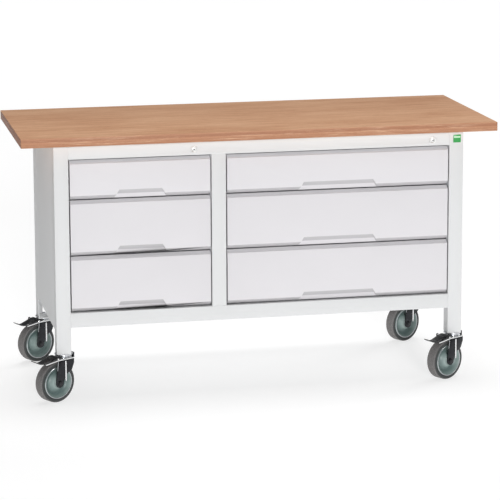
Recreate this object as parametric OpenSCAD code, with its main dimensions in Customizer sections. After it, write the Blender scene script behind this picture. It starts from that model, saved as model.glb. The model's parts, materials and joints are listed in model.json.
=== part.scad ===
// Mobile workbench: a plywood worktop on a sheet-steel frame with two bays of
// three drawers, a key lock for each bay and four braked swivel castors.
// Millimetres. +X runs along the bench, the front faces -Y, +Z is up, and the
// origin is on the floor under the middle of the worktop.

/* [Worktop] */
// Length of the worktop
top_w = 1500; // [1460:10:1700]
// Depth of the worktop
top_d = 600; // [600:10:700]
// Thickness of the worktop
top_t = 28; // [25:1:40]
// Height of the working surface above the floor
bench_h = 830; // [820:5:900]

/* [Frame] */
// Length of the steel frame
frame_w = 1296; // [1250:2:1340]
// Depth of the steel frame
frame_d = 547; // [540:1:560]
// Overhang of the worktop at the front
front_overhang = 32; // [20:1:40]
// Width of a post, and depth of a front post
post_w = 45; // [42:1:50]
// Depth of a rear post
rear_post_d = 70; // [60:1:80]
// Width of a rear post below the panels, seen from behind
rear_leg_w = 21; // [18:1:30]
// Height of the top and bottom front rails
rail_h = 45; // [43:1:50]
// Underside of the bottom rail above the floor
rail_underside = 232; // [225:1:240]
// Lower edge of the side panels above the floor
side_panel_z = 218; // [210:1:228]
// Width of the opening of the narrow left bay
left_bay_w = 444; // [420:1:480]

/* [Drawers] */
// Height of a top drawer's front
small_front_h = 121.5; // [110:0.5:130]
// Gap between two drawer fronts
row_gap = 3; // [2:0.5:4]
// Gap between the top drawer's front and the top rail
top_gap = 4.5; // [3:0.5:6]
// Gap at each end of a drawer front
side_gap = 4; // [3:0.5:5]
// Depth of the folded drawer front
front_depth = 16; // [14:1:18]
// Height of the sloping fold along a front's upper edge
upper_fold = 10; // [6:1:12]
// Height of the sloping fold along a front's lower edge
lower_fold = 12; // [8:1:14]
// Top of the finger pull above the front's lower edge
pull_h = 27; // [24:1:30]
// Width of the finger pull of a left drawer, at its upper edge
left_pull_w = 133; // [110:1:150]
// Width of the finger pull of a right drawer, at its upper edge
right_pull_w = 222; // [180:1:260]
// How far each end of a finger pull slants outwards
pull_slant = 16; // [10:1:20]
// Depth of a drawer box, front to back
box_d = 480; // [440:5:485]
// How far a drawer pulls out
drawer_travel = 450; // [400:5:450]

/* [Locks] */
// Distance from a bay's right wall to its lock
lock_inset = 54.5; // [50:0.5:60]
// Height of a lock above the top rail's lower edge
lock_rise = 17.5; // [16:0.5:20]
// Lift of the lock bar as the key turns a quarter turn
lock_lift = 8; // [6:0.5:8]

/* [Castors] */
// Overall height of a castor
castor_h = 148; // [148:1:155]
// Wheel diameter
wheel_dia = 125; // [120:1:125]
// Width of the tyre
tyre_w = 36; // [30:1:38]
// Width of a brake pedal's tread plate
pedal_w = 28; // [24:1:40]
// Distance from the swivel axis to the wheel's axle
trail = 33.5; // [30:0.5:38]
// Angle of the trailing side about +Z, from +X
castor_turn = 208.4; // [0:0.1:360]

/* [Hidden] */

$fn = 72;
eps = 0.01;

// Sheet thicknesses
post_sheet = 2;
panel_sheet = 1.5;
box_sheet = 1.2;

// Frame faces and levels
frame_top = bench_h - top_t;
frame_front = -top_d / 2 + front_overhang;
frame_back = frame_front + frame_d;
frame_x = frame_w / 2;
opening_top = frame_top - rail_h;
opening_bottom = rail_underside + rail_h;
flange = 30;
lower_flange = 15;
foot_plate = 4;

// Bays: 0 is the left one, 1 the right one
LEFT = 0;
RIGHT = 1;
bay_x0 = [-frame_x + post_w, -frame_x + 2 * post_w + left_bay_w];
bay_x1 = [-frame_x + post_w + left_bay_w, frame_x - post_w];
pull_w = [left_pull_w, right_pull_w];

// Rows: 0 is the bottom one, 2 the top one
BOTTOM = 0;
MIDDLE = 1;
TOP = 2;
large_front_h = (opening_top - opening_bottom - top_gap - 3 * row_gap - small_front_h) / 2;
row_h = [large_front_h, large_front_h, small_front_h];
row_z = [
    opening_bottom + row_gap,
    opening_bottom + 2 * row_gap + large_front_h,
    opening_bottom + 3 * row_gap + 2 * large_front_h
];

// Drawer boxes
front_back = frame_front + front_depth;
box_clear = 6;
box_top_clear = 26;
runner_space = 13;

// Runners: one height, one length, and the levels of their three members
runner_y0 = frame_front + 32;
runner_l = 470;
runner_rise = 38;
cabinet_half = 20;
middle_half = 17.2;
drawer_half = 14;
runner_sheet = 1.5;

// Lock mechanism
lock_z = opening_top + lock_rise;
lock_x = [bay_x1[LEFT] - lock_inset, bay_x1[RIGHT] - lock_inset];
barrel_r = 6;
housing_r = 9;
escutcheon_r = 11;
cam_y = frame_front + 14.5;
cam_t = 2.5;
crank = lock_lift;
pin_r = 2;
bar_y0 = frame_front + 18;
bar_deep = 8;
bar_t = 1.6;
bar_gap = 0.3;

// Castors
castor_x = frame_x - post_w / 2;
castor_front_y = frame_front + post_w / 2;
castor_rear_y = frame_back - post_w / 2;
wheel_r = wheel_dia / 2;
rim_r = wheel_r - 12.5;
bond = 0.05;
plate_t = 3.5;
crown_top = castor_h - 13.5;
crown_t = 4;
kingpin_r = 8;
axle_r = 6;
running_gap = 0.05;
cheek_out = 28;
cheek_t = 3;
cheek_end_r = 14.5;
pedal_x = 40;
pedal_z = castor_h - 8;
pedal_boss_r = 5;

frame_grey = [0.91, 0.91, 0.92];
front_grey = [0.90, 0.90, 0.91];
zinc = [0.80, 0.80, 0.80];

// A box between two corners
module block(low, high) {
    translate(low) cube(high - low);
}

// Extrudes a side outline, drawn as [depth, height], along X
module along_x(x0, x1) {
    translate([x0, 0, 0]) rotate([90, 0, 90]) linear_extrude(x1 - x0) children();
}

// Extrudes an outline drawn as [length, height] along Y
module along_y(y0, y1) {
    translate([0, y1, 0]) rotate([90, 0, 0]) linear_extrude(y1 - y0) children();
}

// A cylinder along Y
module rod_y(x, z, r, y0, y1) {
    translate([x, y1, z]) rotate([90, 0, 0]) cylinder(r = r, h = y1 - y0);
}

// ---------------------------------------------------------------- worktop

// Places of the screws along the front and rear flanges
module at_screws() {
    for (x = [-2 : 2])
        for (y = [frame_front + 22, frame_back - 22])
            translate([x * (frame_w - 240) / 4, y, frame_top - panel_sheet]) children();
}

// Shank of a screw, and the hole that it fills
module screw_shank() {
    cylinder(r = 2.5, h = panel_sheet + 18);
}

// Plywood board with its pilot holes
module worktop() {
    color([0.80, 0.62, 0.46])
    difference() {
        block([-top_w / 2, -top_d / 2, frame_top], [top_w / 2, top_d / 2, bench_h]);
        at_screws() screw_shank();
    }
}

// Screws from the frame's flanges up into the board
module worktop_screws() {
    color(zinc)
    at_screws() {
        screw_shank();
        translate([0, 0, -3.5]) cylinder(r = 5.5, h = 3.5);
    }
}

// ------------------------------------------------------------------ frame

// Channel post with a foot plate and a cap plate. Its web is the outward face:
// the front for a front post, the back for a rear post.
module post(deep, foot_from_web) {
    color(frame_grey)
    difference() {
        block([0, 0, castor_h], [post_w, deep, frame_top]);
        difference() {
            block([post_sheet, post_sheet, castor_h + foot_plate],
                  [post_w - post_sheet, deep + 1, frame_top - foot_plate]);
        }
        translate([post_w / 2, foot_from_web, castor_h - 1])
            cylinder(r = 6.5, h = foot_plate + 2);
    }
}

module left_front_post() {
    translate([-frame_x, frame_front, 0]) post(post_w, post_w / 2);
}

module right_front_post() {
    translate([frame_x - post_w, frame_front, 0]) post(post_w, post_w / 2);
}

// Rear post, cut back below the panels to an angle that stands on the whole foot
module rear_post() {
    difference() {
        rotate([0, 0, 180]) post(rear_post_d, post_w / 2);
        block([-post_w - 1, -rear_post_d - 1, castor_h + foot_plate],
              [-rear_leg_w, 1, rail_underside]);
    }
}

module left_rear_post() {
    mirror([1, 0, 0]) translate([frame_x, frame_back, 0]) rear_post();
}

module right_rear_post() {
    translate([frame_x, frame_back, 0]) rear_post();
}

// Side panel, flush with the outer faces of the posts that it is welded between
module side_panel() {
    y0 = frame_front + post_w;
    y1 = frame_back - rear_post_d;
    color(frame_grey) {
        block([0, y0, side_panel_z], [post_sheet, y1, frame_top]);
        block([post_sheet - eps, y0, side_panel_z], [18, y1, side_panel_z + panel_sheet]);
        block([post_sheet - eps, y0, frame_top - panel_sheet], [18, y1, frame_top]);
    }
}

module left_side_panel() {
    translate([-frame_x, 0, 0]) side_panel();
}

module right_side_panel() {
    mirror([1, 0, 0]) translate([-frame_x, 0, 0]) side_panel();
}

// Rear panel with a top flange for the worktop screws and a lower one for the pan
module rear_panel() {
    x = frame_x - post_w;
    color(frame_grey)
    difference() {
        union() {
            block([-x, frame_back - panel_sheet, rail_underside], [x, frame_back, frame_top]);
            block([-x, frame_back - 40, frame_top - panel_sheet], [x, frame_back, frame_top]);
            block([-x, frame_back - flange, rail_underside],
                  [x, frame_back, rail_underside + panel_sheet]);
        }
        at_screws() screw_shank();
    }
}

// Folded rail above the drawers, with a hole for each lock
module top_front_rail() {
    x = frame_x - post_w;
    y = frame_front;
    color(frame_grey)
    difference() {
        union() {
            block([-x, y, opening_top], [x, y + panel_sheet, frame_top]);
            block([-x, y, frame_top - panel_sheet], [x, y + 40, frame_top]);
            block([-x, y, opening_top], [x, y + lower_flange, opening_top + panel_sheet]);
        }
        for (bay = [LEFT, RIGHT]) rod_y(lock_x[bay], lock_z, housing_r, y - 1, y + 3);
        at_screws() screw_shank();
    }
}

// Folded rail below the drawers
module bottom_front_rail() {
    x = frame_x - post_w;
    y = frame_front;
    color(frame_grey) {
        block([-x, y, rail_underside], [x, y + panel_sheet, opening_bottom]);
        block([-x, y, opening_bottom - panel_sheet], [x, y + flange, opening_bottom]);
        block([-x, y, rail_underside], [x, y + flange, rail_underside + panel_sheet]);
    }
}

// Hollow partition between the bays, folded from one sheet
module centre_partition() {
    x0 = bay_x1[LEFT];
    x1 = bay_x0[RIGHT];
    y = frame_front;
    low = rail_underside + 2 * panel_sheet;
    color(frame_grey) {
        block([x0, y, opening_bottom], [x1, y + panel_sheet, opening_top]);
        for (x = [x0, x1 - panel_sheet]) {
            block([x, y, opening_bottom], [x + panel_sheet, y + flange + eps, opening_top]);
            block([x, y + flange, low], [x + panel_sheet, frame_back - panel_sheet, opening_top]);
        }
        block([x0, y + flange, opening_top - panel_sheet],
              [x1, frame_back - panel_sheet, opening_top]);
    }
}

// Pan that closes the cabinet from below
module base_pan() {
    x = frame_x - post_w - 1;
    z = rail_underside + panel_sheet;
    color(frame_grey)
    block([-x, frame_front + 3, z], [x, frame_back - 3, z + panel_sheet]);
}

// Plain badge near the top of the right post
module badge() {
    badge_w = 24.5;
    badge_h = 25;
    badge_t = 1.2;
    z = frame_top - 37.5;
    x = frame_x - post_w / 2 + 2;
    color([0.27, 0.65, 0.35])
    block([x - badge_w / 2, frame_front - badge_t, z],
          [x + badge_w / 2, frame_front, z + badge_h]);
}

// ---------------------------------------------------------------- drawers

function box_x0(bay) = bay_x0[bay] + runner_space;
function box_x1(bay) = bay_x1[bay] - runner_space;
function runner_z(row) = row_z[row] + box_clear + runner_rise;

// Side outline of a drawer front, as [depth, height]
module front_outline(h) {
    polygon([
        [0, lower_fold], [0, h - upper_fold], [front_depth - 1, h],
        [front_depth, h], [front_depth, 0], [front_depth - 1, 0]
    ]);
}

// Hollow behind a drawer front
module front_hollow(h) {
    s = panel_sheet;
    polygon([
        [s, lower_fold + s / 2], [s, h - upper_fold - s / 2], [front_depth - 2, h - s],
        [front_depth + 1, h - s], [front_depth + 1, s], [front_depth - 2, s]
    ]);
}

// Space of a finger pull, grown by the sheet's thickness for its outer skin
module pull_space(w, grow) {
    intersection() {
        along_x(-w, w)
            polygon([
                [-5, pull_h + grow], [grow / 2, pull_h + grow], [12 + grow, 14 + grow / 2],
                [front_depth - 1.5 + grow, 0], [front_depth - 1.5 + grow, -5], [-5, -5]
            ]);
        along_y(-6, front_depth + 6)
            polygon([
                [-w / 2 - grow, pull_h + grow], [w / 2 + grow, pull_h + grow],
                [w / 2 + pull_slant + grow, 0], [w / 2 + pull_slant + grow, -5],
                [-w / 2 - pull_slant - grow, -5], [-w / 2 - pull_slant - grow, 0]
            ]);
    }
}

// Folded front with its finger pull pressed in
module drawer_front(bay, row) {
    x0 = bay_x0[bay] + side_gap;
    x1 = bay_x1[bay] - side_gap;
    half = (x1 - x0) / 2;
    h = row_h[row];
    color(front_grey)
    translate([(x0 + x1) / 2, frame_front, row_z[row]])
        difference() {
            union() {
                difference() {
                    along_x(-half, half) front_outline(h);
                    along_x(-half + panel_sheet, half - panel_sheet) front_hollow(h);
                }
                intersection() {
                    along_x(-half, half) front_outline(h);
                    pull_space(pull_w[bay], panel_sheet);
                }
            }
            pull_space(pull_w[bay], 0);
        }
}

// Open box with the runners' drawer members on its sides
module drawer_box(bay, row) {
    x0 = box_x0(bay);
    x1 = box_x1(bay);
    y0 = front_back;
    y1 = y0 + box_d;
    z0 = row_z[row] + box_clear;
    z1 = z0 + row_h[row] - box_top_clear;
    hook_z = z0 + 8;
    color(front_grey) {
        difference() {
            block([x0, y0, z0], [x1, y1, z1]);
            block([x0 + box_sheet, y0 + box_sheet, z0 + box_sheet],
                  [x1 - box_sheet, y1 - box_sheet, z1 + 1]);
        }
        // Catch for the lock bar, low on the right side
        block([x1 - eps, y0 + 14, hook_z], [x1 + 6, y0 + 16, hook_z + 8]);
    }
    color(zinc)
    for (side = [LEFT, RIGHT]) drawer_member(bay, row, side);
}

// A runner's channel section: [distance from the wall, height], open inwards
module channel(u0, u1, half) {
    s = runner_sheet;
    difference() {
        translate([u0, -half]) square([u1 - u0, 2 * half]);
        translate([u0 + s, -half + s]) square([u1 - u0, 2 * (half - s)]);
    }
}

// Places a runner section along Y at a bay's left or right wall
module at_wall(bay, row, side, y0, y1) {
    x = side == LEFT ? bay_x0[bay] : bay_x1[bay];
    translate([x, 0, runner_z(row)])
        mirror([side == LEFT ? 0 : 1, 0, 0])
            along_y(y0, y1) children();
}

module cabinet_member(bay, row, side) {
    at_wall(bay, row, side, runner_y0, runner_y0 + runner_l) channel(0, 10.5, cabinet_half);
}

module middle_member(bay, row, side) {
    at_wall(bay, row, side, runner_y0 + 1, runner_y0 + runner_l - 1)
        channel(2.3, 11.3, middle_half);
}

module drawer_member(bay, row, side) {
    at_wall(bay, row, side, runner_y0 + 2, front_back + box_d - 8)
        mirror([1, 0, 0]) translate([-runner_space, 0]) channel(-eps, 8, drawer_half);
}

module middle_runners(bay, row) {
    color(zinc)
    for (side = [LEFT, RIGHT]) middle_member(bay, row, side);
}

module cabinet_runners() {
    color(zinc)
    for (bay = [LEFT, RIGHT])
        for (row = [BOTTOM, MIDDLE, TOP])
            for (side = [LEFT, RIGHT]) cabinet_member(bay, row, side);
}

// ------------------------------------------------------------------ locks

// Escutcheon and threaded sleeve that the rail holds
module lock_housings() {
    y = frame_front;
    color(zinc)
    for (bay = [LEFT, RIGHT])
        difference() {
            union() {
                rod_y(lock_x[bay], lock_z, escutcheon_r, y - 2.5, y);
                rod_y(lock_x[bay], lock_z, housing_r, y - eps, y + 12);
                rod_y(lock_x[bay], lock_z, 12.5, y + panel_sheet, y + 5);
            }
            rod_y(lock_x[bay], lock_z, barrel_r, y - 4, y + 13);
        }
}

// Keyed barrel with its cam and the pin that drives the lock bar
module lock_barrel(bay) {
    x = lock_x[bay];
    y = frame_front;
    color(zinc)
    difference() {
        union() {
            rod_y(x, lock_z, barrel_r - running_gap, y - 2.2, cam_y + eps);
            rod_y(x, lock_z, 5, cam_y, cam_y + cam_t);
            block([x, cam_y, lock_z - 4], [x + crank, cam_y + cam_t, lock_z + 4]);
            rod_y(x + crank, lock_z, 4, cam_y, cam_y + cam_t);
            rod_y(x + crank, lock_z, pin_r, cam_y + cam_t - eps, cam_y + cam_t + 4.5);
        }
        block([x - 0.8, y - 3, lock_z - 4], [x + 0.8, y + 6, lock_z + 4]);
        rod_y(x, lock_z, 2, y - 3, y + 6);
    }
}

// Bar beside the drawers: a slotted arm over the cam's pin, and a hook for each row
module lock_bar(bay) {
    wall = bay_x1[bay];
    x1 = wall - bar_gap;
    x0 = x1 - bar_t;
    arm_x0 = lock_x[bay] - 8;
    low = row_z[BOTTOM] + box_clear;
    color(zinc) {
        block([x0, bar_y0, low], [x1, bar_y0 + bar_deep, lock_z + 12]);
        difference() {
            block([arm_x0, bar_y0, lock_z - 8], [x1, bar_y0 + 2.5, lock_z + 12]);
            block([lock_x[bay] - pin_r - 1, bar_y0 - 1, lock_z - pin_r - 0.5],
                  [lock_x[bay] + crank + pin_r + 1, bar_y0 + 4, lock_z + pin_r + 2.5]);
        }
        for (row = [BOTTOM, MIDDLE, TOP]) {
            hook_top = row_z[row] + box_clear + 7;
            block([x0 - 5.5, bar_y0, hook_top - 6], [x0 + eps, bar_y0 + 5, hook_top]);
        }
    }
}

// ---------------------------------------------------------------- castors

// Castor places: front left, front right, rear left, rear right
function castor_place(i) =
    [(i % 2 == 0 ? -1 : 1) * castor_x, i < 2 ? castor_front_y : castor_rear_y, 0];

// Turns a castor's own frame, with +X towards its trailing side, into place
module at_castor(i) {
    translate(castor_place(i)) rotate([0, 0, castor_turn]) children();
}

// Fixed heads: a plate and race with a kingpin below, and a bolt up through the foot
module castor_heads() {
    color(zinc)
    for (i = [0 : 3])
        at_castor(i) {
            translate([0, 0, castor_h - plate_t]) cylinder(r = 28, h = plate_t);
            translate([0, 0, castor_h - 9]) cylinder(r = 24, h = 9 - plate_t + eps);
            translate([0, 0, crown_top - crown_t - 2])
                cylinder(r = kingpin_r - running_gap, h = 11);
            translate([0, 0, crown_top - crown_t - 3.2]) cylinder(r = 13, h = 2.7);
            translate([0, 0, castor_h - eps]) cylinder(r = 6, h = foot_plate + 7);
            translate([0, 0, castor_h + foot_plate]) cylinder(r = 10.5, h = 5, $fn = 6);
        }
}

// Outline of a fork's cheek, as [distance from the swivel axis, height]
module cheek_outline() {
    polygon([
        [-21, crown_top], [-21, crown_top - 14], [-12, crown_top - 36], [7, crown_top - 46],
        [trail - cheek_end_r - 2, wheel_r + 6], [trail - cheek_end_r, wheel_r],
        [trail + cheek_end_r, wheel_r], [trail + cheek_end_r - 1, wheel_r + 8],
        [trail + 6, crown_top]
    ]);
    translate([trail, wheel_r]) circle(r = cheek_end_r);
}

// Pressed fork: crown with its bearing ring, two cheeks with a stiffening bead, pedal lugs
module fork(i) {
    color(zinc)
    at_castor(i)
        difference() {
            union() {
                block([-21, -cheek_out, crown_top - crown_t], [trail + 6, cheek_out, crown_top]);
                translate([0, 0, crown_top - eps]) cylinder(r = 25, h = 4);
                for (side = [-1, 1]) {
                    y0 = side < 0 ? -cheek_out : cheek_out - cheek_t;
                    along_y(y0, y0 + cheek_t) cheek_outline();
                    translate([10.5, side * (cheek_out - 1.5), wheel_r + 4])
                        cylinder(r = 4, h = crown_top - wheel_r - 8);
                    y1 = side < 0 ? -cheek_out : cheek_out - 3;
                    block([34, y1, crown_top - crown_t],
                          [pedal_x + 5, y1 + 3, pedal_z + 5]);
                }
            }
            translate([0, 0, crown_top - crown_t - 1]) cylinder(r = kingpin_r, h = crown_t + 6);
            rod_y(trail, wheel_r, axle_r, -cheek_out - 4, cheek_out + 4);
            rod_y(pedal_x, pedal_z, 3, -cheek_out - 4, cheek_out + 4);
        }
}

// Axle bolt with its head and nut outside the cheeks
module axle(i) {
    color([0.25, 0.25, 0.26])
    at_castor(i) {
        rod_y(trail, wheel_r, axle_r - running_gap, -cheek_out - 1, cheek_out + 1);
        rod_y(trail, wheel_r, 9, cheek_out, cheek_out + 1.6);
        rod_y(trail, wheel_r, 7.2, cheek_out, cheek_out + 6);
        translate([trail, -cheek_out, wheel_r]) rotate([90, 0, 0])
            cylinder(r = 9, h = 6, $fn = 6);
    }
}

// Moulded wheel centre: hub, dished web and rim
module wheel_centre(i) {
    hub = cheek_out - cheek_t - 0.5;
    rim = tyre_w / 2 - 1;
    bore = axle_r;
    color([0.45, 0.51, 0.50])
    at_castor(i)
        translate([trail, 0, wheel_r]) rotate([90, 0, 0])
            rotate_extrude()
                polygon([
                    [bore, -hub], [13, -hub], [17, -hub + 5], [30, -7], [43, -7],
                    [rim_r - 4, -rim], [rim_r - bond, -rim], [rim_r - bond, rim], [rim_r - 4, rim],
                    [43, 7], [30, 7], [17, hub - 5], [13, hub], [bore, hub]
                ]);
}

// Soft tyre with rounded shoulders, bonded round the rim
module tyre(i) {
    half = tyre_w / 2;
    shoulder = 5;
    color([0.41, 0.39, 0.39])
    at_castor(i)
        translate([trail, 0, wheel_r]) rotate([90, 0, 0])
            rotate_extrude() {
                translate([rim_r, -half]) square([wheel_r - rim_r - shoulder, tyre_w]);
                translate([rim_r, -half + shoulder])
                    square([wheel_r - rim_r, tyre_w - 2 * shoulder]);
                for (side = [-1, 1])
                    translate([wheel_r - shoulder, side * (half - shoulder)])
                        circle(r = shoulder);
            }
}

// Side outline of the brake pedal: boss, sloping plate, tongue that curls up
module pedal_plate() {
    polygon([
        [pedal_x - 3, castor_h - 2], [pedal_x + 8, castor_h - 5], [83, castor_h - 17],
        [100, castor_h - 14], [114, castor_h - 6], [116, castor_h - 8.5],
        [101, castor_h - 17.5], [83, castor_h - 21], [pedal_x + 8, castor_h - 14],
        [pedal_x - 3, pedal_z - 5]
    ]);
}

// Side outline of the arm that holds the plate's end to the pin, outside the near cheek
module pedal_arm() {
    polygon([
        [24, castor_h - 12.2], [24, castor_h - 8.5], [pedal_x - 3, castor_h - 4],
        [pedal_x + 5, castor_h - 4.5], [86, castor_h - 16.4], [86, castor_h - 20.4]
    ]);
}

// Brake pedal on its pin through the fork's lugs
module brake_pedal(i) {
    inner = cheek_out - 3 - 0.5;
    arm_in = cheek_out + 0.5;
    arm_out = cheek_out + 2.1;
    color([0.12, 0.12, 0.12])
    at_castor(i)
        union() {
            along_y(-pedal_w / 2, pedal_w / 2) pedal_plate();
            along_y(arm_in, arm_out) pedal_arm();
            block([82, -pedal_w / 2, castor_h - 20.4], [86, arm_out, castor_h - 17]);
            // Brake shoe that presses on the tread
            block([50, -10, castor_h - 21], [64, 10, castor_h - 12]);
            rod_y(pedal_x, pedal_z, pedal_boss_r, -inner, inner);
            rod_y(pedal_x, pedal_z, 3 - running_gap, -cheek_out, arm_out);
        }
}

// ---------------------------------------------------------------- assembly

worktop();
left_front_post();
right_front_post();
left_rear_post();
right_rear_post();
left_side_panel();
right_side_panel();
rear_panel();
top_front_rail();
bottom_front_rail();
centre_partition();
base_pan();
worktop_screws();
cabinet_runners();
lock_housings();
badge();
castor_heads();
drawer_front(LEFT, TOP);  // left_top_drawer_front
drawer_box(LEFT, TOP);  // left_top_drawer_box
middle_runners(LEFT, TOP);  // left_top_middle_runners
drawer_front(LEFT, MIDDLE);  // left_middle_drawer_front
drawer_box(LEFT, MIDDLE);  // left_middle_drawer_box
middle_runners(LEFT, MIDDLE);  // left_middle_middle_runners
drawer_front(LEFT, BOTTOM);  // left_bottom_drawer_front
drawer_box(LEFT, BOTTOM);  // left_bottom_drawer_box
middle_runners(LEFT, BOTTOM);  // left_bottom_middle_runners
drawer_front(RIGHT, TOP);  // right_top_drawer_front
drawer_box(RIGHT, TOP);  // right_top_drawer_box
middle_runners(RIGHT, TOP);  // right_top_middle_runners
drawer_front(RIGHT, MIDDLE);  // right_middle_drawer_front
drawer_box(RIGHT, MIDDLE);  // right_middle_drawer_box
middle_runners(RIGHT, MIDDLE);  // right_middle_middle_runners
drawer_front(RIGHT, BOTTOM);  // right_bottom_drawer_front
drawer_box(RIGHT, BOTTOM);  // right_bottom_drawer_box
middle_runners(RIGHT, BOTTOM);  // right_bottom_middle_runners
lock_barrel(LEFT);  // left_lock_barrel
lock_bar(LEFT);  // left_lock_bar
lock_barrel(RIGHT);  // right_lock_barrel
lock_bar(RIGHT);  // right_lock_bar
fork(0);  // front_left_fork
axle(0);  // front_left_axle
wheel_centre(0);  // front_left_wheel_centre
tyre(0);  // front_left_tyre
brake_pedal(0);  // front_left_brake_pedal
fork(1);  // front_right_fork
axle(1);  // front_right_axle
wheel_centre(1);  // front_right_wheel_centre
tyre(1);  // front_right_tyre
brake_pedal(1);  // front_right_brake_pedal
fork(2);  // rear_left_fork
axle(2);  // rear_left_axle
wheel_centre(2);  // rear_left_wheel_centre
tyre(2);  // rear_left_tyre
brake_pedal(2);  // rear_left_brake_pedal
fork(3);  // rear_right_fork
axle(3);  // rear_right_axle
wheel_centre(3);  // rear_right_wheel_centre
tyre(3);  // rear_right_tyre
brake_pedal(3);  // rear_right_brake_pedal
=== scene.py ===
import json
import math

import bmesh
import bpy
from mathutils import Matrix, Vector


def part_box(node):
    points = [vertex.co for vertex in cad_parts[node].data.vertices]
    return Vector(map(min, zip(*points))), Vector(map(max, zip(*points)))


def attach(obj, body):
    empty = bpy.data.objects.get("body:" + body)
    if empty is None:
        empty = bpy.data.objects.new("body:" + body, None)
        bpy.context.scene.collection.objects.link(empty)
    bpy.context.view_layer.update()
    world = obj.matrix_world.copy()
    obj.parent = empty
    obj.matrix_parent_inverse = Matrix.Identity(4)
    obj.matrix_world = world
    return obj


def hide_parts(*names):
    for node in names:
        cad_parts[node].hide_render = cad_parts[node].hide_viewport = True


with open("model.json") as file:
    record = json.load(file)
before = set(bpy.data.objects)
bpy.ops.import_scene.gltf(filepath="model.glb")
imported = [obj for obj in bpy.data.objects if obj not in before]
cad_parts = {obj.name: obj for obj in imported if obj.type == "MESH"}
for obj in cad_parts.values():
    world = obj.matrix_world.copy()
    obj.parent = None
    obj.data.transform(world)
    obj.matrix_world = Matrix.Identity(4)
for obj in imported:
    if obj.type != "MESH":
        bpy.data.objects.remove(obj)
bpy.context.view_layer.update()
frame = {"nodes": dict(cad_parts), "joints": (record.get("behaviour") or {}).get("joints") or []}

# ------------------------------------------------------------------ studio
# The bench stands on a pale, evenly lit floor. A soft lamp in front and a little to the
# left lights the drawers, another overhead lights the worktop, and dim panels at the
# sides and behind give the metal something to reflect.
HORIZON = 0.10
FLOOR_GLOW = 0.68
CAMERA_PLACE = (-1.4960, -7.2740, 1.9950)
CAMERA_TURN = -0.2052
CAMERA_TILT = -0.1701
CAMERA_ROLL = -0.0037
CAMERA_SHIFT = -0.2
LENS_MM = 169.19
SENSOR_MM = 36
FAR_CLIP = 60
FLOOR_HALF = 40

scene = bpy.context.scene
scene.view_settings.view_transform = "Standard"
scene.view_settings.look = "None"


def link(made):
    scene.collection.objects.link(made)
    return made


lens = bpy.data.cameras.new("studio_camera")
lens.sensor_width = SENSOR_MM
lens.lens = LENS_MM
lens.shift_y = CAMERA_SHIFT
lens.clip_end = FAR_CLIP
camera = link(bpy.data.objects.new("studio_camera", lens))
camera.matrix_world = (
    Matrix.Translation(CAMERA_PLACE)
    @ Matrix.Rotation(CAMERA_TURN, 4, "Z")
    @ Matrix.Rotation(math.pi / 2 + CAMERA_TILT, 4, "X")
    @ Matrix.Rotation(CAMERA_ROLL, 4, "Z")
)
scene.camera = camera

world = bpy.data.worlds.new("studio_air")
world.use_nodes = True
air = world.node_tree.nodes["Background"]
air.inputs["Color"].default_value = (0.96, 0.98, 1.0, 1)
air.inputs["Strength"].default_value = HORIZON
scene.world = world


def sun(name, strength, spread, azimuth, elevation):
    """A far lamp: azimuth 0 is straight in front of the drawers, positive to the right."""
    data = bpy.data.lights.new(name, "SUN")
    data.energy = strength
    data.angle = math.radians(spread)
    lamp = link(bpy.data.objects.new(name, data))
    a, e = math.radians(azimuth), math.radians(elevation)
    towards = Vector((math.sin(a) * math.cos(e), -math.cos(a) * math.cos(e), math.sin(e)))
    lamp.rotation_euler = towards.to_track_quat("Z", "Y").to_euler()


def panel_light(name, power, size, place, target):
    """A glowing panel that faces its target; size is its width and height in metres."""
    data = bpy.data.lights.new(name, "AREA")
    data.shape = "RECTANGLE"
    data.size, data.size_y = size
    data.energy = power
    lamp = link(bpy.data.objects.new(name, data))
    lamp.location = place
    lamp.rotation_euler = (Vector(place) - Vector(target)).to_track_quat("Z", "Y").to_euler()


STRIP = (0.4, 1.8)
BENCH_MIDDLE = (0, 0, 0.4)
sun("front_lamp", strength=1.88, spread=12, azimuth=-2, elevation=12)
sun("overhead_lamp", strength=1.9, spread=30, azimuth=160, elevation=82)
sun("back_lamp", strength=0.6, spread=20, azimuth=125, elevation=28)
panel_light("left_strip", 1, STRIP, (-3.4, -3.2, 1.3), BENCH_MIDDLE)
panel_light("right_strip", 3, STRIP, (3.6, -3.2, 1.3), BENCH_MIDDLE)


class Tone:
    """A shader socket that takes part in Python arithmetic."""

    def __init__(self, finish, socket):
        self.finish = finish
        self.socket = socket

    def calc(self, operation, *others):
        inputs = dict(enumerate((self,) + others))
        return self.finish.node("ShaderNodeMath", {"operation": operation}, inputs)

    def __add__(self, other):
        return self.calc("ADD", other)

    def __sub__(self, other):
        return self.calc("SUBTRACT", other)

    def __rsub__(self, other):
        return self.finish.node(
            "ShaderNodeMath", {"operation": "SUBTRACT"}, {0: other, 1: self}
        )

    def __mul__(self, other):
        return self.calc("MULTIPLY", other)

    def __truediv__(self, other):
        return self.calc("DIVIDE", other)

    __radd__ = __add__
    __rmul__ = __mul__


def shade(red, green, blue):
    """A colour written as on a paint card, 0 to 255, as the shader wants it."""
    def linear(v):
        v /= 255
        return v / 12.92 if v <= 0.04045 else ((v + 0.055) / 1.055) ** 2.4

    return (linear(red), linear(green), linear(blue), 1)


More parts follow.
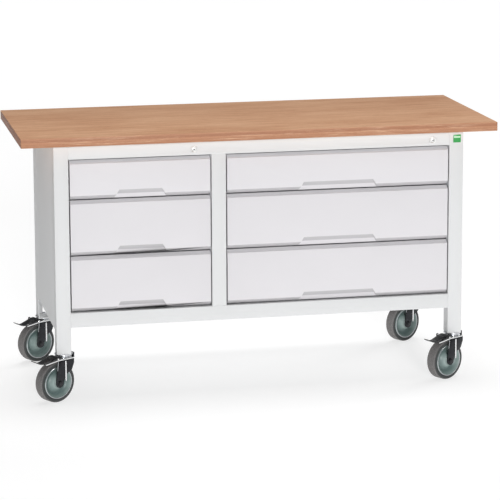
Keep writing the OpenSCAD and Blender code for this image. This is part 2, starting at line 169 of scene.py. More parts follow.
class Finish:
    """One material: its surface shader and the nodes that vary it."""

    def __init__(self, name, **fixed):
        self.material = bpy.data.materials.new(name)
        self.material.use_nodes = True
        self.tree = self.material.node_tree
        self.shader = self.tree.nodes["Principled BSDF"]
        for socket, value in fixed.items():
            self.shader.inputs[socket.replace("_", " ")].default_value = value

    def node(self, kind, settings, inputs, out=0):
        made = self.tree.nodes.new(kind)
        for key, value in settings.items():
            if key == "stops":
                ramp = made.color_ramp
                while len(ramp.elements) < len(value):
                    ramp.elements.new(0.5)
                for element, (place, colour) in zip(ramp.elements, value):
                    element.position = place
                    element.color = colour
            else:
                setattr(made, key, value)
        for key, value in inputs.items():
            if isinstance(value, Tone):
                self.tree.links.new(value.socket, made.inputs[key])
            else:
                made.inputs[key].default_value = value
        return Tone(self, made.outputs[out])

    def place(self, stretch=(1, 1, 1)):
        """The piece's own coordinates in metres, stretched to give a pattern its grain."""
        here = self.node("ShaderNodeTexCoord", {}, {}, "Object")
        return self.node(
            "ShaderNodeVectorMath", {"operation": "MULTIPLY"}, {0: here, 1: stretch}
        )

    def clouds(self, where, scale, detail=2.0, roughness=0.5):
        return self.node(
            "ShaderNodeTexNoise", {},
            {"Vector": where, "Scale": scale, "Detail": detail, "Roughness": roughness},
        )

    def ramp(self, factor, *stops):
        return self.node("ShaderNodeValToRGB", {"stops": stops}, {0: factor})

    def between(self, factor, low, high):
        """Stretches a number from 0..1 to low..high."""
        return self.node(
            "ShaderNodeMapRange", {}, {0: factor, 1: 0.0, 2: 1.0, 3: low, 4: high}
        )

    def mix(self, factor, first, second, how="MIX"):
        return self.node(
            "ShaderNodeMix", {"data_type": "RGBA", "blend_type": how},
            {0: factor, 6: first, 7: second}, 2,
        )

    def relief(self, height, depth):
        """Dents the surface by up to depth metres."""
        bump = self.node(
            "ShaderNodeBump", {}, {"Strength": 1.0, "Distance": depth, "Height": height}
        )
        self.feed("Normal", bump)

    def feed(self, socket, tone):
        self.tree.links.new(tone.socket, self.shader.inputs[socket])


def mottled(name, scale, dark, light, **fixed):
    """A nearly even colour that drifts between two stops of (place, colour)."""
    finish = Finish(name, **fixed)
    finish.feed("Base Color", finish.ramp(finish.clouds(finish.place(), scale), dark, light))
    return finish


def grey(level):
    return (level, level, level, 1)


studio_floor = mottled(
    "studio_floor_paint", 1.2, (0, grey(0.33)), (1, grey(0.35)), Roughness=0.9
)
studio_floor.shader.inputs["Emission Color"].default_value = (1, 1, 1, 1)
studio_floor.shader.inputs["Emission Strength"].default_value = FLOOR_GLOW

floor_mesh = bmesh.new()
bmesh.ops.create_grid(floor_mesh, x_segments=2, y_segments=2, size=FLOOR_HALF)
floor_data = bpy.data.meshes.new("studio_floor")
floor_mesh.to_mesh(floor_data)
floor_mesh.free()
floor_data.materials.append(studio_floor.material)
link(bpy.data.objects.new("studio_floor", floor_data))

# ----------------------------------------------------------------- worktop
# The working surface is a 28 mm beech plywood board, clear lacquered, with its veneers
# showing at the edges. Its arrises are eased by hand; it is screwed down from below.
MM = 0.001
ARRIS = 1.4 * MM
VENEER = 2.15 * MM
WANDER = 0.7 * MM


def put(name, mesh, body, finishes, replaced, corner=35):
    """Links a mesh as a piece that rides on a body and stands for CAD nodes."""
    data = bpy.data.meshes.new(name)
    mesh.to_mesh(data)
    mesh.free()
    for finish in finishes:
        data.materials.append(finish.material)
    data.shade_smooth()
    data.set_sharp_from_angle(angle=math.radians(corner))
    made = link(bpy.data.objects.new(name, data))
    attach(made, body)
    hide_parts(*replaced)


def block(low, high, ease=0.0, steps=2):
    """A block between two corners, with its edges eased."""
    mesh = bmesh.new()
    bmesh.ops.create_cube(mesh, size=1)
    low, high = Vector(low), Vector(high)
    bmesh.ops.scale(mesh, vec=high - low, verts=mesh.verts)
    bmesh.ops.translate(mesh, vec=(low + high) / 2, verts=mesh.verts)
    if ease:
        bmesh.ops.bevel(
            mesh, geom=mesh.edges[:], offset=ease, segments=steps, profile=0.5,
            affect="EDGES", material=-1,
        )
    return mesh


def plywood(name, light, dark, fleck, along, streak):
    """Beech: long grain along one axis, with short darker ray flecks."""
    wood = Finish(name, Roughness=0.60, Specular_IOR_Level=0.3)
    stretch = {"X": (1.3, 24, 24), "Y": (24, 1.3, 24)}[along]
    grain = wood.clouds(wood.place(stretch), 6.0, 5.0, 0.62)
    fibre = wood.clouds(wood.place([v * 5 for v in stretch]), 9.0, 3.0, 0.7)
    broad = {"X": (0.9, 3.2, 1.0), "Y": (3.2, 0.9, 1.0)}[along]
    board = wood.clouds(wood.place(broad), 2.6, 2.0)
    blend = grain * 0.55 + fibre * 0.2 + board * 0.25
    colour = wood.ramp(blend, (0.40, dark), (0.50, streak), (0.58, light))
    flecks = wood.clouds(wood.place([v * 2.6 for v in stretch]), 17.0, 1.0, 0.4)
    marks = wood.between(flecks, -2.1, 2.6).calc("MAXIMUM", 0.0).calc("MINIMUM", 1.0)
    return wood, wood.mix(marks * 0.22, colour, fleck), grain


LIGHT_BEECH = shade(219, 174, 138)
MID_BEECH = shade(210, 162, 126)
DARK_BEECH = shade(192, 140, 104)
FLECK = shade(150, 98, 70)
DEEP_VENEER = shade(150, 92, 62)
GLUE = shade(96, 58, 40)

top_veneer, top_colour, top_grain = plywood(
    "beech_face_veneer", LIGHT_BEECH, DARK_BEECH, FLECK, "X", MID_BEECH
)
top_veneer.feed("Base Color", top_colour)
top_veneer.feed("Roughness", top_veneer.between(top_grain, 0.52, 0.70))
top_veneer.relief(top_grain, 0.00006)


def ply_edge(name, along, long_light, long_dark, end_light, end_dark):
    """An edge of the board, where veneers with the grain along and across it alternate."""
    edge, colour, grain = plywood(name, long_light, long_dark, FLECK, along, long_dark)
    apart = edge.node("ShaderNodeSeparateXYZ", {}, {0: edge.place()}, 2)
    wander = edge.clouds(edge.place((3, 3, 0)), 3.0, 2.0) * WANDER
    layer = (apart + wander) / VENEER
    number = layer.calc("FLOOR")
    across = (number / 2).calc("FRACT") * 2
    pores = edge.clouds(edge.place((900, 900, 420)), 1.0, 2.0, 0.8)
    ends = edge.ramp(pores, (0.35, end_dark), (0.65, end_light))
    shift = edge.node("ShaderNodeTexWhiteNoise", {"noise_dimensions": "1D"}, {"W": number})
    mixed = edge.mix(across * 0.8, colour, ends)
    toned = edge.mix(edge.between(shift, 0.0, 0.32), mixed, DEEP_VENEER, "MULTIPLY")
    glue = (layer.calc("FRACT") - 0.5).calc("ABSOLUTE")
    line = edge.between(glue, -7.2, 1.25).calc("MAXIMUM", 0.0)
    lined = edge.mix(line * 0.30, toned, GLUE)
    edge.feed("Base Color", lined)
    edge.feed("Roughness", edge.between(pores, 0.45, 0.7))
    edge.relief(grain * 0.5 + pores * 0.5, 0.00012)
    return edge


front_edge = ply_edge(
    "beech_long_edge", "X", shade(220, 178, 146), shade(190, 138, 106),
    shade(196, 148, 116), shade(164, 112, 82),
)
end_edge = ply_edge(
    "beech_end_edge", "Y", shade(196, 152, 126), shade(160, 112, 86),
    shade(168, 122, 98), shade(128, 84, 64),
)

UPRIGHT = 0.7
top_low, top_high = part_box("worktop")
worktop = block(top_low, top_high, ARRIS, 3)
for face in worktop.faces:
    if abs(face.normal.z) < UPRIGHT:
        face.material_index = 1 if abs(face.normal.y) > abs(face.normal.x) else 2
put("beech_worktop", worktop, "root",
    [top_veneer, front_edge, end_edge], ["worktop"])

# ------------------------------------------------------------- steel frame
# Posts, rails and panels are folded from 1.5 and 2 mm sheet steel, welded together and
# powder coated light grey. The coat has a fine, even texture and rounds every edge.
FOLD = 0.75 * MM
SAME_POINT = 0.00001
FOLD_ANGLE = 0.5
LOOKS_DOWN = -0.2


def powder_coat(name, colour, roughness):
    """Matt powder coat with a fine orange peel and a slight drift of its tone."""
    coat = Finish(name, Roughness=roughness, Specular_IOR_Level=0.08)
    drift = coat.clouds(coat.place(), 3.0, 2.0)
    speck = coat.clouds(coat.place(), 850.0, 2.0, 0.6)
    deep = tuple(v * 0.965 for v in colour[:3]) + (1,)
    tone = drift * 0.7 + speck * 0.3
    coat.feed("Base Color", coat.ramp(tone, (0.3, deep), (0.7, colour)))
    coat.feed("Roughness", coat.between(speck, roughness - 0.05, roughness + 0.08))
    coat.relief(speck, 0.00005)
    return coat


frame_coat = powder_coat("light_grey_coat", (0.698, 0.704, 0.708, 1), 0.42)


def folded(node, name, finishes, ease=FOLD, body="root", corner=30):
    """A CAD sheet part with its faces joined up and its folds and edges rounded.

    A second finish, where there is one, goes on the faces that look down; on the drawer fronts
    it is a darker coat, painted shade.
    """
    mesh = bmesh.new()
    mesh.from_mesh(frame["nodes"][node].data)
    bmesh.ops.remove_doubles(mesh, verts=mesh.verts, dist=SAME_POINT)
    bmesh.ops.dissolve_limit(
        mesh, angle_limit=math.radians(1), verts=mesh.verts, edges=mesh.edges
    )
    sharp = [e for e in mesh.edges if e.is_manifold and e.calc_face_angle(0) > FOLD_ANGLE]
    bmesh.ops.bevel(
        mesh, geom=sharp, offset=ease, segments=2, profile=0.5, affect="EDGES",
        material=-1, clamp_overlap=True,
    )
    for face in mesh.faces:
        face.material_index = int(len(finishes) > 1 and face.normal.z < LOOKS_DOWN)
    put(name, mesh, body, finishes, [node], corner)


for node in ("left_front_post", "right_front_post", "left_rear_post", "right_rear_post",
             "left_side_panel", "right_side_panel", "rear_panel", "top_front_rail",
             "bottom_front_rail", "centre_partition", "base_pan"):
    folded(node, "steel_" + node, [frame_coat])

# ------------------------------------------------------------------ drawers
# Each drawer has a front folded from one sheet, sloping back at its upper and lower
# edges, with a finger pull pressed into the lower one, and a welded box behind it.
drawer_coat = powder_coat("drawer_grey_coat", (0.700, 0.686, 0.706, 1), 0.40)
box_coat = powder_coat("drawer_box_coat", (0.68, 0.68, 0.70, 1), 0.45)
# The lower folds and the pulls' hollows, the faces that look down, get a darker coat: painted
# shade.
shade_painted_coat = powder_coat("grey_coat_with_painted_shade", (0.520, 0.510, 0.524, 1), 0.50)


def plated(name, light, dark, roughness):
    """Plated metal, faintly cloudy and lightly scratched."""
    metal = Finish(name, Metallic=1.0, Roughness=roughness)
    cloud = metal.clouds(metal.place(), 60.0, 3.0, 0.6)
    scratch = metal.clouds(metal.place((30, 900, 900)), 1.0, 2.0, 0.7)
    tone = cloud * 0.7 + scratch * 0.3
    wear = cloud * 0.5 + scratch * 0.5
    metal.feed("Base Color", metal.ramp(tone, (0.3, dark), (0.7, light)))
    metal.feed("Roughness", metal.between(wear, roughness - 0.08, roughness + 0.12))
    metal.relief(scratch, 0.00002)
    return metal


zinc = plated("bright_zinc", (0.80, 0.81, 0.83, 1), (0.58, 0.60, 0.63, 1), 0.30)


def zinc_plate(node):
    """Gives a CAD part that is kept as it is the bright zinc finish."""
    materials = frame["nodes"][node].data.materials
    materials.clear()
    materials.append(zinc.material)


for bay in ("left", "right"):
    for row in ("top", "middle", "bottom"):
        drawer = f"{bay}_{row}_drawer"
        folded(drawer + "_front", drawer + "_folded_front",
               [drawer_coat, shade_painted_coat], body=drawer)
        folded(drawer + "_box", drawer + "_welded_box",
               [box_coat], 0.3 * MM, drawer)
        zinc_plate(f"{bay}_{row}_middle_runners")

zinc_plate("cabinet_runners")
zinc_plate("worktop_screws")

# -------------------------------------------------------------------- locks
# Each bay has a key lock in the top rail: a nickel-plated dished escutcheon round a
# barrel with a keyhole, and behind it a cam that lifts a bar with a hook for each drawer.
nickel = plated("satin_nickel", (0.82, 0.82, 0.81, 1), (0.72, 0.72, 0.71, 1), 0.50)
# Keyholes are painted near black: painted shade.
keyhole_shade_paint = mottled("keyhole_painted_shade", 900.0, (0, grey(0.01)), (1, grey(0.03)), Roughness=0.6)
CAM_REACH = 8


def turned(outline, steps=64, ease=0.0, closed=True):
    """Spins an outline of (radius, place along the axis) round Z, as on a lathe."""
    mesh = bmesh.new()
    verts = [mesh.verts.new((radius, 0, along)) for radius, along in outline]
    ends = verts[1:] + verts[:1] if closed else verts[1:]
    for pair in zip(verts, ends):
        mesh.edges.new(pair)
    if ease:
        inner = [v for v in verts if len(v.link_edges) == 2]
        bmesh.ops.bevel(
            mesh, geom=inner, offset=ease, segments=3, profile=0.5, affect="VERTICES",
            material=-1,
        )
    bmesh.ops.spin(
        mesh, geom=mesh.verts[:] + mesh.edges[:], cent=(0, 0, 0), axis=(0, 0, 1),
        angle=2 * math.pi, steps=steps, use_merge=True,
    )
    bmesh.ops.remove_doubles(mesh, verts=mesh.verts, dist=SAME_POINT)
    bmesh.ops.recalc_face_normals(mesh, faces=mesh.faces)
    return mesh


def join(parts):
    """Puts meshes into one, each with its own finish number, or None to keep its own."""
    whole = bmesh.new()
    for part, number in parts:
        if number is not None:
            for face in part.faces:
                face.material_index = number
        data = bpy.data.meshes.new("part")
        part.to_mesh(data)
        part.free()
        whole.from_mesh(data)
        bpy.data.meshes.remove(data)
    return whole


def moved(mesh, matrix):
    bmesh.ops.transform(mesh, matrix=matrix, verts=mesh.verts)
    return mesh


def facing_front(x, y, z):
    """Turns a piece made along +Z, in millimetres, to stick out of the front at a place."""
    return (
        Matrix.Translation((x, y, z)) @ Matrix.Rotation(math.pi / 2, 4, "X")
        @ Matrix.Scale(MM, 4)
    )


key_axes = {j["name"]: j["pos_m"] for j in frame["joints"]
            if j["name"].endswith("_lock_turn")}
escutcheons = []
for bay in ("left", "right"):
    place = facing_front(*key_axes[bay + "_lock_turn"])
    dish = turned(
        [(6.1, -12), (9, -12), (9, -0.2), (11, 0), (11, 1.2), (10.2, 2.3), (9.3, 2.5),
         (8.6, 2.2), (6.9, 1.2), (6.1, 1.2)], ease=0.15)
    nut = turned([(9.1, -5), (12.5, -5), (12.5, -1.6), (9.1, -1.6)], 6)
    escutcheons += [(moved(dish, place), 0), (moved(nut, place), 0)]
    barrel = turned([(0, 1.0), (5.2, 1.0), (5.85, 0.6), (5.85, -14), (0, -14)], closed=False)
    # The keyhole is a near-black insert standing just proud of the barrel's face: painted shade
    # in place of a hole.
    slot_shade_paint = block((-0.9, -3.0, 0.2), (0.9, 3.0, 1.08), 0.05)
    slot_round = turned([(0, 1.1), (2.1, 1.1), (2.1, 0.2), (0, 0.2)], 32, closed=False)
    cam = block((-4, -4, -17), (CAM_REACH + 3.6, 4, -14.5), 0.4)
    pin = turned([(0, -21.3), (2, -21.3), (2, -17), (0, -17)], 24, closed=False)
    whole = join([(barrel, 0), (slot_shade_paint, 1), (slot_round, 1), (cam, 0),
                  (moved(pin, Matrix.Translation((CAM_REACH, 0, 0))), 0)])
    put(bay + "_key_barrel", moved(whole, place), bay + "_lock_barrel",
        [nickel, keyhole_shade_paint], [bay + "_lock_barrel"])
    folded(bay + "_lock_bar", bay + "_hooked_bar", [zinc], 0.2 * MM,
           bay + "_lock_bar")
put("lock_escutcheons", join(escutcheons), "root", [nickel],
    ["lock_housings"])

# -------------------------------------------------------------------- badge
# A small moulded badge is stuck near the top of the right post. It is plain green with a
# raised pale band and carries no lettering.
BAND_INSET = 2 * MM
BAND_PROUD = 0.2 * MM
BAND_FOOT = 14.8 * MM
BAND_TOP = 20.2 * MM

green = mottled("badge_green", 300.0, (0.2, shade(42, 142, 66)), (0.8, shade(52, 160, 78)),
                Roughness=0.35)
pale = mottled("badge_band", 300.0, (0.2, shade(178, 222, 184)),
               (0.8, shade(198, 234, 203)), Roughness=0.4)

badge_low, badge_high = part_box("badge")
band_low = (badge_low.x + BAND_INSET, badge_low.y - BAND_PROUD, badge_low.z + BAND_FOOT)
band_high = (badge_high.x - BAND_INSET, badge_high.y, badge_low.z + BAND_TOP)
put("post_badge", join([(block(badge_low, badge_high, 0.5 * MM), 0),
                        (block(band_low, band_high, 0.1 * MM), 1)]),
    "root", [green, pale], ["badge"])

# ------------------------------------------------------------------ castors
# Four 125 mm castors bolt up through the feet. Each has a pressed zinc-plated fork, coloured
# near black as a painted dark reflection with painted highlights on its ridge and edges, a
# moulded wheel centre with a soft grey tyre, and a black brake pedal.
# All of a castor is made in mm round its own upright axis, with +X towards the wheel.
TURN = math.radians(208.4)
FOOT = 148
CROWN = FOOT - 13.5
CHEEK = 28.0
WHEEL_R = 62.5
RIM_R = 50
TRAIL = 33.5
PEDAL_PIN = (40, 0, 140)
PEDAL_HALF = 13.8
TREAD_RIBS = 84
TREAD_SLANT = 5
SHARP_CORNER = 0.4

# The fork's zinc is coloured near black: a painted dark reflection.
zinc_dark_reflection_paint = plated(
    "painted_dark_reflection_on_zinc", (0.050, 0.052, 0.056, 1), (0.030, 0.031, 0.034, 1), 0.22
)
# A near-white copy of the zinc paints highlights and glints on ridges, edges, the pedal's pin
# and a rivet.
zinc_highlight_paint = plated("painted_highlight_on_zinc", (0.95, 0.95, 0.95, 1), (0.86, 0.87, 0.88, 1), 0.25)

blackened = mottled(
    "blackened_bolt", 400.0, (0.3, (0.018, 0.018, 0.020, 1)), (0.7, (0.05, 0.05, 0.055, 1)),
    Metallic=0.6, Roughness=0.35,
)

moulded = Finish(
    "blue_grey_wheel_centre", Roughness=0.45, Coat_Weight=0.15, Coat_Roughness=0.35
)
swirl = moulded.clouds(moulded.place(), 45.0, 3.0, 0.6)
dish_map = moulded.node("ShaderNodeUVMap", {"uv_map": "dish"}, {})
outwards = moulded.node("ShaderNodeSeparateXYZ", {}, {0: dish_map}, 1)
# The dish is painted lighter on the hub's flank and near the rim and darker in the hollow
# between: painted light and shade.
depth = moulded.ramp(
    outwards, (0.26, shade(120, 132, 130)), (0.36, shade(158, 174, 171)),
    (0.52, shade(118, 136, 133)), (0.64, shade(84, 102, 100)),
    (0.76, shade(96, 114, 112)), (0.90, shade(134, 150, 147)))
moulded.feed("Base Color", moulded.mix(
    moulded.between(swirl, -0.6, 1.2).calc("MAXIMUM", 0.0) * 0.5, depth, shade(74, 92, 90)))
moulded.feed("Roughness", moulded.between(swirl, 0.38, 0.52))
moulded.relief(moulded.clouds(moulded.place(), 700.0, 2.0), 0.00003)

rubber = Finish("grey_soft_tyre", Roughness=0.82)
around = rubber.node("ShaderNodeUVMap", {"uv_map": "tread"}, {})
ribs = rubber.node("ShaderNodeSeparateXYZ", {}, {0: around}, 0)
side = rubber.node("ShaderNodeSeparateXYZ", {}, {0: around}, 1)
rising = ((ribs * TREAD_RIBS + side * TREAD_SLANT) * (2 * math.pi)).calc("SINE")
falling = ((ribs * TREAD_RIBS - side * TREAD_SLANT) * (2 * math.pi)).calc("SINE")
tread = (rising * falling) * 0.5 + 0.5
dust = rubber.clouds(rubber.place(), 220.0, 3.0, 0.7)
wall = ((side.calc("ABSOLUTE") - 0.46) * 9).calc("MAXIMUM", 0.0).calc("MINIMUM", 1.0)
pattern = rubber.ramp(
    tread * 0.6 + dust * 0.4, (0.25, shade(62, 62, 62)), (0.75, shade(150, 147, 146)))
rubber.feed("Base Color", rubber.mix(wall, pattern, shade(62, 64, 64)))
rubber.relief(tread * 0.7 + dust * 0.3, 0.00035)

black = Finish("black_pedal_coat", Roughness=0.28, Coat_Weight=0.4, Coat_Roughness=0.15)
mottle = black.clouds(black.place(), 260.0, 3.0, 0.6)
black.feed("Base Color", black.ramp(
    mottle, (0.3, (0.008, 0.008, 0.009, 1)), (0.7, (0.022, 0.022, 0.024, 1))))
black.feed("Roughness", black.between(mottle, 0.22, 0.42))
black.relief(mottle, 0.00006)


def plate(outline, y0, y1, ease):
    """A plate cut to an outline of (along, up) and standing between y0 and y1."""
    mesh = bmesh.new()
    face = mesh.faces.new([mesh.verts.new((x, y0, z)) for x, z in outline])
    grown = bmesh.ops.extrude_face_region(mesh, geom=[face])
    verts = [v for v in grown["geom"] if isinstance(v, bmesh.types.BMVert)]
    bmesh.ops.translate(mesh, vec=(0, y1 - y0, 0), verts=verts)
    bmesh.ops.recalc_face_normals(mesh, faces=mesh.faces)
    sharp = [e for e in mesh.edges if e.calc_face_angle(0) > SHARP_CORNER]
    bmesh.ops.bevel(
        mesh, geom=sharp, offset=ease, segments=2, profile=0.5, affect="EDGES",
        material=-1, clamp_overlap=True,
    )
    return mesh


def disc(radius, z0, z1, ease, steps=48):
    """A round bar or plate between two heights, with its edges eased."""
    return turned([(0, z0), (radius, z0), (radius, z1), (0, z1)], steps, ease, closed=False)


def arc(x, z, radius, start, stop, steps=10):
    """Points along an arc, from start to stop degrees."""
    angles = [math.radians(start + (stop - start) * i / steps) for i in range(steps + 1)]
    return [(x + radius * math.cos(a), z + radius * math.sin(a)) for a in angles]


def castor_head():
    """Head plate, ball race and kingpin, with the bolt and nut inside the post's foot."""
    return join([
        (disc(27.6, FOOT - 3.5, FOOT, 0.8, 72), 0),
        (turned([(0, FOOT - 3.4), (24, FOOT - 3.4), (24, FOOT - 6), (22, FOOT - 7.4),
                 (24, FOOT - 9), (0, FOOT - 9)], 72, 0.5, closed=False), 0),
        (disc(7.95, CROWN - 6, CROWN + 5, 0.3), 0),
        (disc(13, CROWN - 7.2, CROWN - 4.5, 0.5), 0),
        (disc(6, FOOT - 0.5, FOOT + 10, 0.8), 0),
        # Weld nut inside the foot, coated with it
        (turned([(0, FOOT + 2.5), (10.4, FOOT + 2.5), (10.4, FOOT + 7.4), (9, FOOT + 8),
                 (0, FOOT + 8)], 6, closed=False), 1),
    ])


def castor_fork():
    """Crown with its raised ring, two tapered cheeks with a ridge, and pedal lugs."""
    parts = [
        (block((-21, -CHEEK, CROWN - 4), (TRAIL + 6, CHEEK, CROWN), 0.9), 0),
        (turned([(8.1, CROWN - 0.2), (25, CROWN - 0.2), (25, CROWN + 2.6), (23.6, CROWN + 4),
                 (8.1, CROWN + 4)], 72, 0.5), 2),
        # Tab behind the crown that stops the swivel when the brake is on
        (plate([(-35.6, CROWN - 4), (-20, CROWN - 4), (-20, CROWN - 1), (-32.4, CROWN - 0.5),
                (-32.4, FOOT - 1.2), (-35.6, FOOT - 1.0)], -9, 9, 0.5), 0),
        # A near-white strip on the tab: a painted highlight.
        (block((-32.6, -3.5, FOOT - 7.6), (-31.8, 6, FOOT - 1.8), 0.25), 1),
        # A near-white band round the raised ring's rim: a painted highlight.
        (turned([(24.2, CROWN + 1.6), (25.15, CROWN + 1.6), (25.15, CROWN + 3.8),
                 (24.2, CROWN + 4.1)], 72, 0.3), 1),
    ]
    # Turned-up edges of the crown, near white: a painted highlight.
    for y0, y1 in ((-CHEEK, 1.6 - CHEEK), (CHEEK - 1.6, CHEEK)):
        parts.append((plate(
            [(-21, CROWN - 1), (39, CROWN - 1), (39, CROWN + 1.6), (-21, CROWN + 3)],
            y0, y1, 0.5), 1))
    cheek = (
        [(-21, CROWN - 1), (-21, CROWN - 14), (-12, CROWN - 36), (7, CROWN - 46),
         (TRAIL - 16.5, WHEEL_R + 6)]
        + arc(TRAIL, WHEEL_R, 14.5, 178, 362, 24)
        + [(TRAIL + 13.5, WHEEL_R + 8), (TRAIL + 6, CROWN - 1)]
    )
    for hand in (-1, 1):
        y0, y1 = sorted((hand * CHEEK, hand * (CHEEK - 3)))
        parts.append((plate(cheek, y0, y1, 0.7), 0))
        lug = ([(34, CROWN - 4)] + [(34, 138)] + arc(40, 139.2, 4.4, 170, 10, 10)
               + [(44.4, CROWN - 4)])
        parts.append((plate(lug, y0, y1, 0.5), 0))
        # The ridge down the cheek is near white: a painted highlight.
        ridge = turned(
            [(0, WHEEL_R + 3), (1.4, WHEEL_R + 3.6), (2.2, WHEEL_R + 6), (2.5, WHEEL_R + 12),
             (2.5, CROWN - 8), (2.0, CROWN - 4.5), (0, CROWN - 3.5)], 32, closed=False)
        bmesh.ops.scale(ridge, vec=(1, 0.8, 1), verts=ridge.verts)
        at_cheek = Matrix.Translation((10.5, hand * (CHEEK - 0.9), 0))
        parts.append((moved(ridge, at_cheek), 1))
        # Cut edge along the rear of the cheek, in plain zinc, lighter than the cheek's painted
        # dark reflection.
        parts.append((plate(
            [(TRAIL + 4.0, CROWN - 3), (TRAIL + 6.05, CROWN - 3), (TRAIL + 9.4, WHEEL_R + 40),
             (TRAIL + 8.2, WHEEL_R + 40)], y0 - 0.15, y1 + 0.15, 0.3), 2))
    return join(parts)


def along_axle(mesh):
    """Lays a piece turned round Z along the axle, with +Z towards the near side."""
    laid = Matrix.Translation((TRAIL, 0, WHEEL_R)) @ Matrix.Rotation(-math.pi / 2, 4, "X")
    return moved(mesh, laid)


def castor_axle():
    """Axle bolt with its washer and domed head, and a nut at the far end."""
    head = turned([(0, CHEEK + 6), (4.4, CHEEK + 6), (6.4, CHEEK + 5.2), (7.2, CHEEK + 3.6),
                   (7.2, CHEEK + 1.4), (0, CHEEK + 1.4)], 40, closed=False)
    return join([
        (along_axle(disc(5.95, -CHEEK - 1, CHEEK + 1.5, 0.2)), 0),
        (along_axle(disc(9, CHEEK + 0.02, CHEEK + 1.6, 0.4)), 0),
        (along_axle(head), 0),
        (along_axle(turned([(0, -CHEEK - 6), (7.6, -CHEEK - 6), (9, -CHEEK - 5.2), (9, -CHEEK),
                            (0, -CHEEK)], 6, closed=False)), 0),
    ])


def wheel_centre():
    """Hub, dished web and rim, with a thin bright bead round the rim's lip."""
    hub = 24.5
    lip = 20.0
    half = [(6, hub), (12, hub), (13.2, hub - 0.6), (15, hub - 2.8), (18, hub - 7),
            (21.5, hub - 12), (25, 8.6), (28.5, 6.0), (32, 5.2), (35.5, 6.4), (39, 9.4),
            (42.5, 13.4), (45.4, 17.2), (47.0, lip - 1.2), (48.0, lip - 0.4), (49.4, lip - 0.4),
            (49.8, lip - 1.2)]
    outline = half + [(r, -z) for r, z in reversed(half)]
    bead = [(47.6, lip - 0.8), (48.2, lip + 0.3), (49.3, lip + 0.4), (49.9, lip - 0.6)]
    web = turned(outline, 96)
    mapped = web.loops.layers.uv.new("dish")
    for face in web.faces:
        for loop in face.loops:
            at = loop.vert.co
            loop[mapped].uv = (0.5, math.hypot(at.x, at.y) / RIM_R)
    parts = [(along_axle(web), 0)]
    for side in (1, -1):
        parts.append((along_axle(turned([(r, side * z) for r, z in bead], 96)), 1))
    return join(parts)


def tyre():
    """Soft tyre with rounded shoulders; the tread's pattern runs by its own map."""
    shoulder = 5.0
    half = 18.0
    corner = arc(WHEEL_R - shoulder, half - shoulder, shoulder, 0, 90, 8)
    upper = corner + [(54, half - 0.1), (52.4, half - 0.5), (51.2, half - 1.6),
                      (RIM_R, half - 2.2)]
    lower = [(r, -z) for r, z in reversed(upper)]
    mesh = turned(upper + [(RIM_R, 0)] + lower, 120)
    mapped = mesh.loops.layers.uv.new("tread")
    for face in mesh.faces:
        middle = face.calc_center_median()
        home = math.atan2(middle.y, middle.x)
        for loop in face.loops:
            at = loop.vert.co
            swing = math.atan2(at.y, at.x) - home
            swing = (swing + math.pi) % (2 * math.pi) - math.pi
            reach = at.z + math.copysign(WHEEL_R - math.hypot(at.x, at.y), at.z)
            loop[mapped].uv = ((home + swing) / (2 * math.pi), reach / (2 * half))
    return along_axle(mesh)


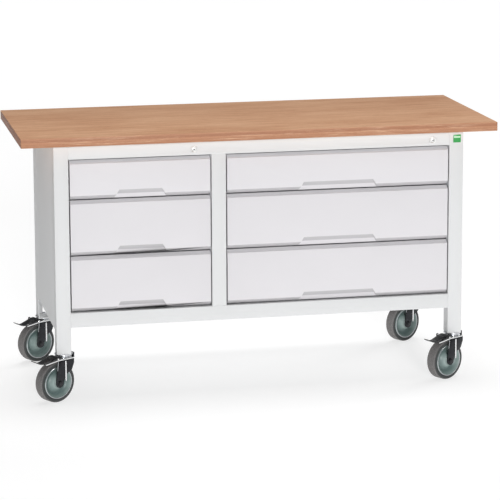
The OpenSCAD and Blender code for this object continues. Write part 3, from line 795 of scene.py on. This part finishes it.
def brake_pedal():
    """Sloping tread plate with a toe that curls up, held by an arm outside a cheek."""
    top = [(35, 145.4), (48, 142.6), (83, 131), (90, 130), (99, 133.0), (106, 137.0),
           (112, 139.8)]
    under = [(112.6, 137.4), (107, 134.4), (100, 130.4), (91, 127.6), (83, 127.6),
             (48, 137), (37, 137)]
    hump = [(36, 140), (36.2, 146.2), (38.5, 147.4), (43.5, 147.4), (46, 145.6), (47.4, 142),
            (47.4, 139)]
    arm = [(24, 136.2), (24, 139.4), (37, 143.9), (45, 143.4), (85.8, 131.4), (85.8, 128.2)]
    edge = [(23.8, 135.8), (23.8, 139.0), (86, 131.2), (86, 127.7)]
    across_fork = Matrix.Translation(PEDAL_PIN) @ Matrix.Rotation(math.pi / 2, 4, "X")
    on_toe = Matrix.Translation((97, 5, 131.4)) @ Matrix.Rotation(math.radians(-22), 4, "Y")
    return join([
        (plate(top + under, -PEDAL_HALF, PEDAL_HALF, 0.7), 0),
        (plate(hump, -6, 22, 0.9), 0),
        # Tread ribs across the plate
        *[(block((x, -12, z - 1.2), (x + 1.8, 12, z + 0.5), 0.3), 0)
          for x, z in ((54, 140.8), (59, 139.1), (64, 137.4), (69, 135.7), (74, 134.0))],
        # Brake shoe and the cross bar that ties the plate to its arm
        (block((50, -10, 127.2), (64, 10, 137), 0.8), 0),
        (block((82, -PEDAL_HALF, 127.7), (85.8, CHEEK + 0.6, 131), 0.6), 0),
        # Housing between the lugs, and the pin that runs through it, near white: a painted
        # highlight.
        (moved(disc(4.9, -24.4, 13.0, 0.4), across_fork), 0),
        (moved(disc(2.9, -CHEEK - 2.05, CHEEK - 0.05, 0.3), across_fork), 1),
        # Arm outside the near cheek, with a painted highlight along its lower edge.
        (plate(arm, CHEEK + 0.55, CHEEK + 2.0, 0.4), 0),
        (plate(edge, CHEEK + 0.5, CHEEK + 2.05, 0.3), 1),
        # Rivet on the toe, near white: a painted glint.
        (moved(disc(2.3, 0, 1.2, 0.4), on_toe), 1),
    ])


swivels = {j["child"].removesuffix("_castor"): j["pos_m"] for j in frame["joints"]
           if j["name"].endswith("_swivel")}

heads = []
for corner, (pivot_x, pivot_y, _) in swivels.items():
    place = (
        Matrix.Translation((pivot_x, pivot_y, 0)) @ Matrix.Rotation(TURN, 4, "Z")
        @ Matrix.Scale(MM, 4)
    )
    heads.append((moved(castor_head(), place), None))
    put(corner + "_pressed_fork", moved(castor_fork(), place), corner + "_castor",
        [zinc_dark_reflection_paint, zinc_highlight_paint, zinc], [corner + "_fork"])
    put(corner + "_axle_bolt", moved(castor_axle(), place), corner + "_castor",
        [blackened], [corner + "_axle"])
    put(corner + "_moulded_centre", moved(wheel_centre(), place), corner + "_wheel",
        [moulded, zinc], [corner + "_wheel_centre"])
    put(corner + "_soft_tyre", moved(tyre(), place), corner + "_wheel",
        [rubber], [corner + "_tyre"])
    put(corner + "_foot_pedal", moved(brake_pedal(), place), corner + "_pedal",
        [black, zinc_highlight_paint], [corner + "_brake_pedal"])
put("castor_swivel_heads", join(heads), "root", [zinc, frame_coat], ["castor_heads"])
